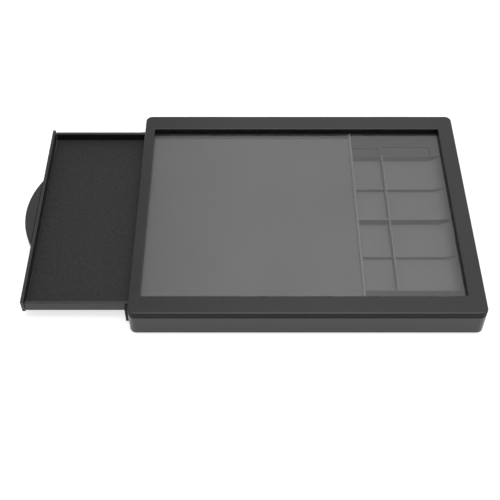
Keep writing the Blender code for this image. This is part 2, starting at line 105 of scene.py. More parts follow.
MIXING_LEFT, MIXING_RIGHT = -144.5 * MM, 48.1 * MM
MIXING_FRONT, MIXING_BACK = -114.5 * MM, 95.9 * MM
MIXING_DEPTH = 0.8 * MM
WELLS_FRONT = -92.0 * MM
WELLS_PITCH = 40.9 * MM
WELL_ROWS = 4
WELLS_BACK = WELLS_FRONT + WELL_ROWS * WELLS_PITCH
WELL_WALL = 0.5 * MM
WELL_DEPTH = 6.5 * MM
WELL_COLUMNS = ((50.6 * MM, 78.1 * MM), (79.1 * MM, 134.2 * MM))
WELL_SWEEP = 12.5 * MM
LOW_PARTITION_DROP = 3.4 * MM
LOW_PARTITION_HALF = 2.5 * MM
LEDGE_FRONT = 72.9 * MM
LEDGE_BACKS = (81.4 * MM, 83.3 * MM)
LEDGE_RIGHTS = (76.1 * MM, 125.0 * MM)
LEDGE_DEPTH = 1.0 * MM
WALL_RUN = 1.2 * MM
SIDE_RUN = 1.0 * MM
SHALLOW_RUN = 0.6 * MM
RIB = (48.2 * MM, 50.4 * MM)
RIB_HEIGHT = 0.6 * MM
RIB_HALF = 101.8 * MM
RIB_END = 0.8 * MM
INSERT_RIM = 21.0 * MM
INSERT_THICKNESS = 1.9 * MM
WELL_SKIN = 1.1 * MM
GRID_PITCH = 9 * MM

FLOOR_HALF = 6.0
FEET = ("foot_front_left", "foot_front_right", "foot_back_left", "foot_back_right")
HINGES = ("left", "right")


# Sizes and colours that a user would change


class PanSetSizes(bpy.types.PropertyGroup):
    """Sizes of the visible mouldings that the frame's boxes don't give."""

    lid_band: FloatProperty(
        name="Lid band", description="Height of the lid's side",
        default=6.1 * MM, unit="LENGTH",
    )
    plate: FloatProperty(
        name="Lid plate", description="Thickness of the bezel round the window",
        default=4.2 * MM, unit="LENGTH",
    )
    corner: FloatProperty(
        name="Case corner", description="Radius of the case's upright corners",
        default=6.0 * MM, unit="LENGTH",
    )
    wall: FloatProperty(
        name="Wall", description="Thickness of the case's walls",
        default=2.6 * MM, unit="LENGTH",
    )
    edge: FloatProperty(
        name="Lid edge", description="Radius of the lid's upper edge",
        default=0.95 * MM, unit="LENGTH",
    )
    under_round: FloatProperty(
        name="Lower edge", description="Radius of the case's lower edge",
        default=1.0 * MM, unit="LENGTH",
    )
    pane_overlap: FloatProperty(
        name="Pane overlap", description="How far the pane runs under the bezel",
        default=3.0 * MM, unit="LENGTH",
    )
    soft_edge: FloatProperty(
        name="Soft edge", description="Radius of the moulded edges of the small parts",
        default=0.35 * MM, unit="LENGTH",
    )


class PanSetFinishes(bpy.types.PropertyGroup):
    """Colours and gloss of the plastics."""

    case_colour: FloatVectorProperty(
        name="Case", description="Black of the case and lid",
        default=(0.009, 0.009, 0.0095), subtype="COLOR", size=3, min=0, max=1,
    )
    drawer_colour: FloatVectorProperty(
        name="Drawer", description="Black of the drawer and mouth plate",
        default=(0.008, 0.008, 0.0085), subtype="COLOR", size=3, min=0, max=1,
    )
    insert_colour: FloatVectorProperty(
        name="Insert", description="Grey of the paint insert",
        default=(0.083, 0.083, 0.083), subtype="COLOR", size=3, min=0, max=1,
    )
    mat_colour: FloatVectorProperty(
        name="Drawer mat", description="Colour of the sheet in the drawer",
        default=(0.017, 0.017, 0.0175), subtype="COLOR", size=3, min=0, max=1,
    )
    case_roughness: FloatProperty(
        name="Case roughness", description="Roughness of the case's moulded surface",
        default=0.2, subtype="FACTOR", min=0, max=1,
    )
    drawer_roughness: FloatProperty(
        name="Drawer roughness", description="Roughness of the drawer's surface",
        default=0.38, subtype="FACTOR", min=0, max=1,
    )


class PanSetStage(bpy.types.PropertyGroup):
    """Camera and studio light."""

    camera_place: FloatVectorProperty(
        name="Camera place", description="Where the camera stands",
        default=(-0.0479, -0.5840, 0.6619), subtype="XYZ", unit="LENGTH", size=3,
    )
    camera_tilt: FloatProperty(
        name="Camera tilt", description="Camera's angle up from straight down",
        default=math.radians(40.0), subtype="ANGLE",
    )
    lens: FloatProperty(
        name="Lens", description="Focal length in millimetres on a 36 mm sensor",
        default=68.37, min=1,
    )
    dome: FloatProperty(
        name="Dome", description="Strength of the white surroundings", default=1.0, min=0,
    )
    unlit: FloatProperty(
        name="Unlit end", description="Brightness of the room's low front end",
        default=0.25, subtype="FACTOR", min=0, max=1,
    )
    zenith: FloatProperty(
        name="Zenith", description="Brightness straight overhead, against the room's",
        default=4.5, min=0,
    )
    overhead: FloatProperty(
        name="Overhead softbox", description="Power of the softbox above, in watts",
        default=3.0, min=0,
    )


def sizes():
    return bpy.context.scene.pan_set_sizes


def finishes():
    return bpy.context.scene.pan_set_finishes


# Mesh helpers


def rounded_ring(low, high, radius, height, steps=8):
    """The points of a rounded rectangle, anticlockwise, all at one height."""
    radius = max(radius, 0.02 * MM)
    corners = (
        (high[0] - radius, low[1] + radius, -90),
        (high[0] - radius, high[1] - radius, 0),
        (low[0] + radius, high[1] - radius, 90),
        (low[0] + radius, low[1] + radius, 180),
    )
    points = []
    for x, y, start in corners:
        for step in range(steps + 1):
            angle = math.radians(start + 90 * step / steps)
            points.append((x + radius * math.cos(angle), y + radius * math.sin(angle), height))
    return points


def loft(name, rings, closed=False, smooth_angle=40):
    """A solid through rings of equally many points: a closed tube of them, or capped at both ends."""
    shape = bmesh.new()
    rows = [[shape.verts.new(point) for point in ring] for ring in rings]
    count = len(rows[0])
    pairs = list(zip(rows, rows[1:]))
    if closed:
        pairs.append((rows[-1], rows[0]))
    else:
        shape.faces.new(list(reversed(rows[0])))
        shape.faces.new(rows[-1])
    for below, above in pairs:
        for i in range(count):
            j = (i + 1) % count
            shape.faces.new((below[i], below[j], above[j], above[i]))
    return finish_mesh(name, shape, smooth_angle)


def finish_mesh(name, shape, smooth_angle=40):
    bmesh.ops.recalc_face_normals(shape, faces=shape.faces)
    mesh = bpy.data.meshes.new(name)
    shape.to_mesh(mesh)
    shape.free()
    mesh.shade_smooth()
    mesh.set_sharp_from_angle(angle=math.radians(smooth_angle))
    piece = bpy.data.objects.new(name, mesh)
    bpy.context.scene.collection.objects.link(piece)
    return piece


def block(name, low, high, radius=0.0, steps=3):
    """A box between two corners, with all of its edges rounded if radius is given."""
    low, high = Vector(low), Vector(high)
    shape = bmesh.new()
    bmesh.ops.create_cube(shape, size=1.0)
    bmesh.ops.scale(shape, vec=high - low, verts=shape.verts)
    bmesh.ops.translate(shape, vec=(low + high) / 2, verts=shape.verts)
    if radius:
        bmesh.ops.bevel(
            shape, geom=shape.edges[:], offset=radius, segments=steps, profile=0.5, affect="EDGES"
        )
    return finish_mesh(name, shape)


def rod(name, start, end, radius, steps=48, edge=0.0):
    """A cylinder between two points, with its two rims rounded if edge is given."""
    start, end = Vector(start), Vector(end)
    along = end - start
    turn = along.to_track_quat("Z", "Y").to_matrix().to_4x4()
    shape = bmesh.new()
    bmesh.ops.create_cone(
        shape, cap_ends=True, segments=steps, radius1=radius, radius2=radius,
        depth=along.length, matrix=Matrix.Translation((start + end) / 2) @ turn,
    )
    if edge:
        painted_shade = [e for e in shape.edges if any(len(f.verts) > 4 for f in e.link_faces)]
        bmesh.ops.bevel(shape, geom=painted_shade, offset=edge, segments=3, profile=0.5, affect="EDGES")
    return finish_mesh(name, shape)


def settle(piece):
    """Replaces the piece's mesh with what its modifiers make of it."""
    graph = bpy.context.evaluated_depsgraph_get()
    settled = bpy.data.meshes.new_from_object(piece.evaluated_get(graph))
    old = piece.data
    piece.modifiers.clear()
    piece.data = settled
    bpy.data.meshes.remove(old)
    return piece


def combine(piece, tools, operation):
    """Cuts the tools from the piece, or joins them to it, and removes them."""
    for tool in tools:
        modifier = piece.modifiers.new(operation, "BOOLEAN")
        modifier.operation = operation
        modifier.solver = "EXACT"
        modifier.object = tool
    settle(piece)
    for tool in tools:
        mesh = tool.data
        bpy.data.objects.remove(tool)
        bpy.data.meshes.remove(mesh)
    return piece


def soften(piece, radius, steps=3, angle=35):
    """Rounds the piece's sharp edges and keeps its flat faces flat in the light."""
    bevel = piece.modifiers.new("soft edges", "BEVEL")
    bevel.width = radius
    bevel.segments = steps
    bevel.limit_method = "ANGLE"
    bevel.angle_limit = math.radians(angle)
    bevel.harden_normals = False
    settle(piece)
    return even_light(piece)


def even_light(piece, smooth_angle=40):
    piece.data.shade_smooth()
    piece.data.set_sharp_from_angle(angle=math.radians(smooth_angle))
    weighted = piece.modifiers.new("even light", "WEIGHTED_NORMAL")
    weighted.keep_sharp = True
    weighted.weight = 100
    return piece


def give(piece, body, node=None, materials=()):
    """Puts the finished piece on its body, hides the node it stands for and gives it its materials."""
    for material in materials:
        piece.data.materials.append(material)
    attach(piece, body)
    if node:
        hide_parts(node)
    return piece


# Materials


class Finish:
    """A material's node tree round one Principled shader, with helpers that add and link nodes."""

    def __init__(self, name):
        self.material = bpy.data.materials.new(name)
        self.material.use_nodes = True
        self.tree = self.material.node_tree
        self.shader = self.tree.nodes["Principled BSDF"]
        self.coordinates = self.add("ShaderNodeTexCoord").outputs["Object"]

    def add(self, kind, **settings):
        node = self.tree.nodes.new(kind)
        for key, value in settings.items():
            setattr(node, key, value)
        return node

    def link(self, source, target):
        self.tree.links.new(source, target)

    def fix(self, **values):
        for key, value in values.items():
            self.shader.inputs[key.replace("_", " ")].default_value = value

    def noise(self, size, detail=2.0, rough=0.5, stretch=(1, 1, 1)):
        """Noise whose blobs are about as large as size, in metres."""
        scale = self.add("ShaderNodeMapping")
        scale.inputs["Scale"].default_value = stretch
        self.link(self.coordinates, scale.inputs["Vector"])
        node = self.add("ShaderNodeTexNoise")
        node.inputs["Scale"].default_value = 1.0 / size
        node.inputs["Detail"].default_value = detail
        node.inputs["Roughness"].default_value = rough
        self.link(scale.outputs["Vector"], node.inputs["Vector"])
        return node.outputs["Fac"]

    def spread(self, value, low, high, source=(0.3, 0.7)):
        node = self.add("ShaderNodeMapRange")
        node.inputs["From Min"].default_value = source[0]
        node.inputs["From Max"].default_value = source[1]
        node.inputs["To Min"].default_value = low
        node.inputs["To Max"].default_value = high
        self.link(value, node.inputs["Value"])
        return node.outputs["Result"]

    def tint(self, value, colour, change):
        """The colour, darker and lighter by change where value is low and high."""
        mix = self.add("ShaderNodeMix", data_type="RGBA")
        mix.inputs["A"].default_value = (*[c * (1 - change) for c in colour], 1)
        mix.inputs["B"].default_value = (*[c * (1 + change) for c in colour], 1)
        self.link(self.spread(value, 0, 1), mix.inputs["Factor"])
        return mix.outputs["Result"]

    def bump(self, value, depth, distance=1.0 * MM):
        node = self.add("ShaderNodeBump")
        node.inputs["Strength"].default_value = depth
        node.inputs["Distance"].default_value = distance
        self.link(value, node.inputs["Height"])
        self.link(node.outputs["Normal"], self.shader.inputs["Normal"])
        return node


def moulded_plastic(name, colour, roughness, grain=0.5 * MM, relief=0.05, specular=0.5):
    """Moulded plastic: faint flow mottling, uneven gloss and a fine grain."""
    finish = Finish(name)
    cloud = finish.noise(45 * MM, detail=3)
    finish.link(finish.tint(cloud, colour, 0.12), finish.shader.inputs["Base Color"])
    gloss = finish.noise(12 * MM, detail=4, rough=0.6)
    finish.link(
        finish.spread(gloss, roughness - 0.035, roughness + 0.035),
        finish.shader.inputs["Roughness"],
    )
    finish.bump(finish.noise(grain, detail=2), relief, 0.05 * MM)
    finish.fix(Specular_IOR_Level=specular, IOR=1.5)
    return finish.material


def clear_acrylic(name):
    """The window: clear sheet that lets lamps through, with faint uneven polish."""
    finish = Finish(name)
    smear = finish.noise(30 * MM, detail=5, rough=0.65)
    finish.link(finish.spread(smear, 0.002, 0.01), finish.shader.inputs["Roughness"])
    cloud = finish.noise(70 * MM)
    finish.link(finish.tint(cloud, (0.95, 0.95, 0.95), 0.01), finish.shader.inputs["Base Color"])
    finish.fix(Transmission_Weight=1.0, IOR=1.49)
    path = finish.add("ShaderNodeLightPath")
    passing = finish.add("ShaderNodeMath", operation="MAXIMUM")
    finish.link(path.outputs["Is Shadow Ray"], passing.inputs[0])
    finish.link(path.outputs["Is Diffuse Ray"], passing.inputs[1])
    through = finish.add("ShaderNodeBsdfTransparent")
    through.inputs["Color"].default_value = (0.92, 0.92, 0.92, 1)
    mix = finish.add("ShaderNodeMixShader")
    finish.link(passing.outputs[0], mix.inputs["Fac"])
    finish.link(finish.shader.outputs["BSDF"], mix.inputs[1])
    finish.link(through.outputs["BSDF"], mix.inputs[2])
    finish.link(mix.outputs["Shader"], finish.tree.nodes["Material Output"].inputs["Surface"])
    return finish.material


def pebbled_sheet(name, colour):
    """The drawer's mat: matt black sheet embossed with small irregular pebbles."""
    finish = Finish(name)
    warp = finish.noise(3 * MM, detail=2)
    cells = finish.add("ShaderNodeTexVoronoi", feature="SMOOTH_F1")
    cells.inputs["Scale"].default_value = 1 / (1.3 * MM)
    cells.inputs["Smoothness"].default_value = 0.35
    cells.inputs["Randomness"].default_value = 0.9
    finish.link(finish.coordinates, cells.inputs["Vector"])
    height = finish.add("ShaderNodeMath", operation="ADD")
    finish.link(cells.outputs["Distance"], height.inputs[0])
    finish.link(warp, height.inputs[1])
    finish.bump(height.outputs[0], 0.55, 0.12 * MM)
    finish.link(finish.tint(warp, colour, 0.18), finish.shader.inputs["Base Color"])
    finish.link(finish.spread(cells.outputs["Distance"], 0.62, 0.8, (0, 0.8)),
                finish.shader.inputs["Roughness"])
    finish.fix(Specular_IOR_Level=0.25)
    return finish.material


def insert_plastic(name, colour, rim_height):
    """The insert's grey plastic: pale matt floors with the mixing area a little darker, painted shade
    on the rims, the well walls, the right slope and the strip behind the wells, and painted highlights
    on the rib, the partition tops and the upper edges of the well walls.
    """
    finish = Finish(name)
    split = finish.add("ShaderNodeSeparateXYZ")
    finish.link(finish.coordinates, split.inputs["Vector"])
    across, along, height = split.outputs["X"], split.outputs["Y"], split.outputs["Z"]
    cloud = finish.noise(40 * MM, detail=4)

    def layer(under, over, share):
        mix = finish.add("ShaderNodeMix", data_type="RGBA")
        finish.link(share, mix.inputs["Factor"])
        finish.link(under, mix.inputs["A"])
        finish.link(over, mix.inputs["B"])
        return mix.outputs["Result"]

    def both(first, second, operation="MULTIPLY"):
        node = finish.add("ShaderNodeMath", operation=operation)
        finish.link(first, node.inputs[0])
        finish.link(second, node.inputs[1])
        return node.outputs[0]

    pale = finish.tint(cloud, colour, 0.06)
    mixing = finish.tint(cloud, [c * 0.86 for c in colour], 0.06)
    # painted shade: a darker copy of the insert's grey, laid on the rims, the well walls, the right
    # slope and the strip behind the wells
    painted_shade = finish.tint(cloud, [c * 0.24 for c in colour], 0.05)
    # painted highlight: a lighter copy of the insert's grey
    painted_highlight = finish.tint(cloud, [c * 1.3 for c in colour], 0.03)
    left, right = WELL_COLUMNS[0][0], WELL_COLUMNS[1][1]
    wells = finish.spread(across, 0, 1, (left - 2.4 * MM, left - 2.2 * MM))
    floors = layer(mixing, pale, wells)
    # painted shade on the wells' walls as they rise, fullest along the right slope and behind the wells
    rising = finish.spread(height, 0, 0.85, (rim_height - 5.6 * MM, rim_height - 1.0 * MM))
    swept = finish.spread(across, 0.1, 1, (right - 15 * MM, right - 9 * MM))
    behind = finish.spread(along, 0, 1, (WELLS_BACK - 0.6 * MM, WELLS_BACK))
    painted_shade_mask = both(both(rising, wells), both(swept, behind, "MAXIMUM"))
    walls = layer(floors, painted_shade, painted_shade_mask)
    inside = both(
        both(finish.spread(across, 0, 1, (left - 0.2 * MM, left)),
             finish.spread(across, 1, 0, (right - 12 * MM, right - 6 * MM))),
        both(finish.spread(along, 0, 1, (WELLS_FRONT, WELLS_FRONT + 0.8 * MM)),
             finish.spread(behind, 1, 0, (0, 1))),
    )
    outer = finish.spread(inside, 1, 0, (0, 1))
    # painted shade on the rim-level tops outside the wells
    rim = finish.spread(height, 0, 1, (rim_height - 0.5 * MM, rim_height - 0.1 * MM))
    rimmed = layer(walls, painted_shade, both(rim, outer))
    # painted highlight on the partition tops and the upper edges of the well walls
    upper = both(rim, both(rising, rising), "MAXIMUM")
    topped = layer(rimmed, painted_highlight, both(upper, inside))
    # painted highlight along the crown of the rib
    rib = finish.spread(height, 0, 1, (rim_height + 0.1 * MM, rim_height + 0.3 * MM))
    finish.link(layer(topped, painted_highlight, rib), finish.shader.inputs["Base Color"])
    finish.link(finish.spread(cloud, 0.42, 0.5), finish.shader.inputs["Roughness"])
    finish.bump(finish.noise(9 * MM), 0.02, 0.05 * MM)
    finish.fix(Specular_IOR_Level=0.1)
    return finish.material


def plated_steel(name):
    """Bright plating with faint turning marks."""
    finish = Finish(name)
    turning = finish.noise(1.2 * MM, detail=4, stretch=(1, 1, 6))
    finish.link(finish.tint(turning, (0.55, 0.55, 0.56), 0.15), finish.shader.inputs["Base Color"])
    finish.link(finish.spread(turning, 0.24, 0.4), finish.shader.inputs["Roughness"])
    finish.fix(Metallic=1.0)
    return finish.material


def soft_rubber(name):
    """Dull black rubber with a dusting of lighter specks."""
    finish = Finish(name)
    dust = finish.noise(2.5 * MM, detail=4)
    finish.link(finish.tint(dust, (0.016, 0.016, 0.016), 0.25), finish.shader.inputs["Base Color"])
    finish.link(finish.spread(dust, 0.7, 0.85), finish.shader.inputs["Roughness"])
    finish.bump(finish.noise(0.4 * MM), 0.1, 0.05 * MM)
    return finish.material


MATERIAL_NAMES = {
    "case": "case_black", "band": "band_black", "drawer": "drawer_black",
    "insert": "insert_grey", "pane": "window_clear", "mat": "drawer_mat_black",
    "rubber": "foot_rubber", "glide": "glide_white", "steel": "plated_steel",
}


def make_materials():
    """All of the finishes, once."""
    looks = finishes()
    name = MATERIAL_NAMES
    black = looks.case_colour[:]
    satin = looks.drawer_colour[:]
    moulded_plastic(name["case"], black, looks.case_roughness)
    moulded_plastic(name["band"], black, 0.55, relief=0.12, specular=0.16)
    moulded_plastic(name["drawer"], satin, looks.drawer_roughness, relief=0.08)
    insert_plastic(name["insert"], looks.insert_colour[:], INSERT_RIM)
    clear_acrylic(name["pane"])
    pebbled_sheet(name["mat"], looks.mat_colour[:])
    soft_rubber(name["rubber"])
    moulded_plastic(name["glide"], (0.72, 0.72, 0.70), 0.35, relief=0.05)
    plated_steel(name["steel"])


def material(key):
    """The finish with this key, made with the others when the first one is asked for."""
    if MATERIAL_NAMES[key] not in bpy.data.materials:
        make_materials()
    return bpy.data.materials[MATERIAL_NAMES[key]]


# Places worked out from the frame


def case_outline():
    """The case's plan: its left front and right back corners, without the hinges."""
    low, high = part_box("lid_frame")
    return (low.x, low.y), (high.x, -low.y), high.z


def window_outline():
    low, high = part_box("window_pane")
    lap = sizes().pane_overlap
    return (low.x + lap, low.y + lap), (high.x - lap, high.y - lap), high.z


def inset(outline, distance):
    (x0, y0), (x1, y1) = outline
    return (x0 + distance, y0 + distance), (x1 - distance, y1 - distance)


def fillet(radius, steps=6):
    """(inset, drop) along a quarter round from the side to the top."""
    turns = [math.radians(90 * step / steps) for step in range(steps + 1)]
    return [(radius * (1 - math.cos(t)), radius * (1 - math.sin(t))) for t in turns]


def turn_in(radius, steps):
    """(run, drop) along a quarter round from flat to upright."""
    turns = [math.radians(90 * step / steps) for step in range(steps + 1)]
    return [(radius * math.sin(t), radius * (1 - math.cos(t))) for t in turns]


def hinge_places():
    """Each hinge's side, the middle of its pin and the length of one of its three knuckles."""
    for side in HINGES:
        low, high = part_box(f"hinge_pin_{side}")
        yield side, (low.x + high.x) / 2, (high.x - low.x) / 3


def hinge_barrel(name, middle, length, arm, wall_y):
    """One knuckle: a barrel on the hinge's axis and the arm that joins it to its wall."""
    pin_low, pin_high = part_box("hinge_pin_left")
    axis = (pin_low + pin_high) / 2
    half = length / 2
    start, end = (middle - half, axis.y, axis.z), (middle + half, axis.y, axis.z)
    barrel = rod(name, start, end, KNUCKLE_RADIUS, 40)
    link = block(
        f"{name}_arm",
        (middle - half, wall_y - KNUCKLE_OVERLAP, axis.z + arm[0]),
        (middle + half, axis.y, axis.z + arm[1]),
    )
    return combine(barrel, [link], "UNION")


def pin_bore(name, centre):
    """The cutter for one hinge's pin hole."""
    low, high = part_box("hinge_pin_left")
    axis = (low + high) / 2
    start = (centre - PIN_BORE_REACH, axis.y, axis.z)
    end = (centre + PIN_BORE_REACH, axis.y, axis.z)
    return rod(name, start, end, PIN_BORE_RADIUS, 32)


def mouth_cutter(left, right, open_top=False):
    """The drawer's way through the case's left wall: the tray's section with room to slide."""
    low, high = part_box("drawer_tray")
    lift = 9 * MM if open_top else MOUTH_LIFT
    return block(
        "mouth_cutter",
        (left, low.y - MOUTH_SLACK, low.z - MOUTH_LIFT),
        (right, high.y + MOUTH_SLACK, high.z + lift),
    )


# Case


class PANSET_OT_case(bpy.types.Operator):
    """Builds the lower case with its rounded underside, drawer mouth and hinge knuckles"""

    bl_idname = "pan_set.case"
    bl_label = "Case"

    def execute(self, context):
        low, high, _ = case_outline()
        base = loft("base_moulding", self.rings())
        wall_right = low[0] + sizes().wall + 1 * MM
        cutters = [mouth_cutter(low[0] - CUT_PAST, wall_right)]
        cutters += self.foot_recesses()
        cutters += self.screw_bores(low[0] - 2 * MM, wall_right)
        combine(base, cutters, "DIFFERENCE")
        barrels, bores = [], []
        for side, centre, length in hinge_places():
            for way in (-1, 1):
                middle = centre + way * (length + GAP)
                name = f"base_knuckle_{side}_{way + 1}"
                barrels.append(hinge_barrel(name, middle, length, BASE_ARM, high[1]))
            bores.append(pin_bore(f"base_bore_{side}", centre))
        combine(base, barrels, "UNION")
        combine(base, bores, "DIFFERENCE")
        even_light(base, 30)
        give(base, "case", "base_shell", [material("case")])
        return {"FINISHED"}

    def rings(self):
        """The base's section: up the rounded outside, over the rim and down to the inner floor."""
        size = sizes()
        low, high, top = case_outline()
        outline = (low, high)
        rim = top - size.lid_band - GAP
        inner_corner = size.corner - size.wall
        rings = []
        for run, rise in turn_in(size.under_round, 8):
            away = size.under_round - run
            corner = max(size.corner - away, LEAST_CORNER)
            rings.append(rounded_ring(*inset(outline, away), corner, rise))
        for away, drop in fillet(size.soft_edge, 3):
            rings.append(rounded_ring(*inset(outline, away), size.corner - away, rim - drop))
        for away, drop in reversed(fillet(size.soft_edge, 3)):
            inside = inset(outline, size.wall - away)
            rings.append(rounded_ring(*inside, inner_corner + away, rim - drop))
        rings.append(rounded_ring(*inset(outline, size.wall), inner_corner, FLOOR_THICKNESS))
        return rings

    def foot_recesses(self):
        recesses = []
        for name in FEET:
            low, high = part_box(name)
            centre = (low + high) / 2
            radius = (high.x - low.x) / 2 + GAP
            start, end = (centre.x, centre.y, -CUT_PAST), (centre.x, centre.y, high.z + GAP)
            recesses.append(rod(f"{name}_recess", start, end, radius))
        return recesses

    def screw_bores(self, left, right):
        bores = []
        for name in ("flange_screw_front", "flange_screw_back"):
            low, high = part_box(name)
            centre = (low + high) / 2
            start, end = (left, centre.y, centre.z), (right, centre.y, centre.z)
            bores.append(rod(f"{name}_bore", start, end, SCREW_BORE_RADIUS, 24))
        return bores


class PANSET_OT_mouth_plate(bpy.types.Operator):
    """Builds the plate that frames the drawer's mouth"""

    bl_idname = "pan_set.mouth_plate"
    bl_label = "Mouth plate"

    def execute(self, context):
        low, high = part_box("mouth_flange")
        plate = block("mouth_plate", low, high)
        way_through = mouth_cutter(low.x - 2 * MM, high.x + 2 * MM, open_top=True)
        combine(plate, [way_through], "DIFFERENCE")
        soften(plate, PLATE_EDGE)
        give(plate, "case", "mouth_flange", [material("band")])
        return {"FINISHED"}


# Paint insert


class Pocket:
    """A recess in the insert: its rectangle, its depth, and how far each of its four walls runs."""

    def __init__(self, x0, x1, y0, y1, depth, runs, slope=0.0):
        self.edges = (x0, x1, y0, y1)
        self.depth = depth
        self.runs = runs
        self.slope = slope

    def sink(self, x, y):
        x0, x1, y0, y1 = self.edges
        left, right, front, back = self.runs
        inward = (
            wall_curve((x - x0) / left), wall_curve((x1 - x) / right),
            wall_curve((y - y0) / front), wall_curve((y1 - y) / back),
        )
        share = inward[0] * inward[1] * inward[2] * inward[3]
        if self.slope:
            share = share * soft_slope((x1 - x) / self.slope)
        return self.depth * share


def wall_curve(u):
    """From 0 at the rim to 1 on the floor: a small round, a steep wall and a fillet."""
    knots = np.array([-10, 0, 0.06, 0.14, 0.22, 0.30, 0.38, 0.48, 0.60, 0.78, 1.0, 10])
    sunk = np.array([0, 0, 0.012, 0.06, 0.26, 0.52, 0.72, 0.85, 0.93, 0.98, 1.0, 1.0])
    return np.interp(u, knots, sunk)


def soft_slope(u):
    """The long hollow-curved side that sweeps up to the rim."""
    u = np.clip(u, 0, 1)
    return np.sin(u * math.pi / 2) ** 0.85


def fine_lines(low, high, pitch, walls, slopes=()):
    """Grid lines from low to high, spaced by pitch and closer together across each wall."""
    lines = list(np.arange(low, high, pitch)) + [high]
    steps = (-0.3, 0, 0.06, 0.12, 0.18, 0.24, 0.3, 0.38, 0.48, 0.6, 0.78, 1.0)
    for edge, run in walls:
        lines.extend(edge + run * np.array(steps))
    for edge, run in slopes:
        lines.extend(edge + run * np.linspace(0, 1, 16))
    lines = np.unique(np.round([v for v in lines if low <= v <= high], 6))
    kept = [lines[0]]
    for value in lines[1:]:
        if value - kept[-1] > 0.035 * MM:
            kept.append(value)
    kept[-1] = high
    return np.array(kept)


def insert_pockets():
    """The mixing area, the wells, the dips of the low partitions and the two brush ledges."""
    shallow = (SHALLOW_RUN,) * 4
    pockets = [
        Pocket(MIXING_LEFT, MIXING_RIGHT, MIXING_FRONT, MIXING_BACK, MIXING_DEPTH, shallow)
    ]
    sweeps = (0.0, WELL_SWEEP)
    for (left, right), ledge_back, ledge_right, sweep in zip(
        WELL_COLUMNS, LEDGE_BACKS, LEDGE_RIGHTS, sweeps
    ):
        runs = (SIDE_RUN, SIDE_RUN, WALL_RUN, WALL_RUN)
        for row in range(WELL_ROWS):
            front = WELLS_FRONT + row * WELLS_PITCH + WELL_WALL
            back = WELLS_FRONT + (row + 1) * WELLS_PITCH - WELL_WALL
            pockets.append(Pocket(left, right, front, back, WELL_DEPTH, runs, sweep))
        runs = (SIDE_RUN, SIDE_RUN, SHALLOW_RUN, SHALLOW_RUN)
        for row in (1, 3):
            middle = WELLS_FRONT + row * WELLS_PITCH
            front, back = middle - LOW_PARTITION_HALF, middle + LOW_PARTITION_HALF
            pockets.append(Pocket(left, right, front, back, LOW_PARTITION_DROP, runs, sweep))
        pockets.append(Pocket(left, ledge_right, LEDGE_FRONT, ledge_back, LEDGE_DEPTH, shallow))
    return pockets


def rib_rise(x, y):
    """Height of the crowned rib between the mixing area and the wells."""
    left, right = RIB
    middle, half = (left + right) / 2, (right - left) / 2
    across = np.clip(1 - ((x - middle) / half) ** 2, 0, 1) ** 0.4
    along = np.clip((RIB_HALF - np.abs(y)) / RIB_END, 0, 1)
    return RIB_HEIGHT * across * np.sqrt(along)


class PANSET_OT_insert(bpy.types.Operator):
    """Builds the moulded insert with its mixing area, brush groove and wells"""

    bl_idname = "pan_set.insert"
    bl_label = "Paint insert"

    def execute(self, context):
        low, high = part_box("palette_tray")
        rim = high.z - RIB_HEIGHT
        pockets = insert_pockets()
        walls_x, walls_y, slopes = [], [], []
        for pocket in pockets:
            x0, x1, y0, y1 = pocket.edges
            left, right, front, back = pocket.runs
            walls_x += [(x0, left), (x1, -right)]
            walls_y += [(y0, front), (y1, -back)]
            if pocket.slope:
                slopes.append((x1, -pocket.slope))
        walls_y += [(-RIB_HALF, RIB_END), (RIB_HALF, -RIB_END)]
        xs = fine_lines(low.x, high.x, GRID_PITCH, walls_x, slopes + [(RIB[0], RIB[1] - RIB[0])])
        ys = fine_lines(low.y, high.y, GRID_PITCH, walls_y)
        grid_x, grid_y = np.meshgrid(xs, ys, indexing="ij")
        depth = np.zeros_like(grid_x)
        for pocket in pockets:
            depth = np.maximum(depth, pocket.sink(grid_x, grid_y))
        top = rim - depth + rib_rise(grid_x, grid_y)
        bottom = np.minimum(rim - INSERT_THICKNESS, top - WELL_SKIN)
        piece = sheet_solid("palette_insert", xs, ys, top, bottom)
        give(piece, "case", "palette_tray", [material("insert")])
        return {"FINISHED"}


def sheet_solid(name, xs, ys, top, bottom):
    """A closed solid between two height grids over the same lines."""
    count_x, count_y = len(xs), len(ys)
    grid_x, grid_y = np.meshgrid(xs, ys, indexing="ij")
    upper = np.stack([grid_x, grid_y, top], axis=-1).reshape(-1, 3)
    lower = np.stack([grid_x, grid_y, bottom], axis=-1).reshape(-1, 3)
    index = np.arange(count_x * count_y).reshape(count_x, count_y)
    a, b = index[:-1, :-1].ravel(), index[1:, :-1].ravel()
    c, d = index[1:, 1:].ravel(), index[:-1, 1:].ravel()
    shift = count_x * count_y
    faces = [np.stack([a, b, c, d], 1), np.stack([d, c, b, a], 1) + shift]
    border = np.concatenate([index[:, 0], index[-1, 1:], index[-2::-1, -1], index[0, -2:0:-1]])
    after = np.roll(border, -1)
    faces.append(np.stack([after, border, border + shift, after + shift], 1))
    mesh = bpy.data.meshes.new(name)
    mesh.from_pydata(np.concatenate([upper, lower]).tolist(), [], np.concatenate(faces).tolist())
    mesh.validate()
    mesh.shade_smooth()
    mesh.set_sharp_from_angle(angle=math.radians(60))
    piece = bpy.data.objects.new(name, mesh)
    bpy.context.scene.collection.objects.link(piece)
    return piece


# Lid


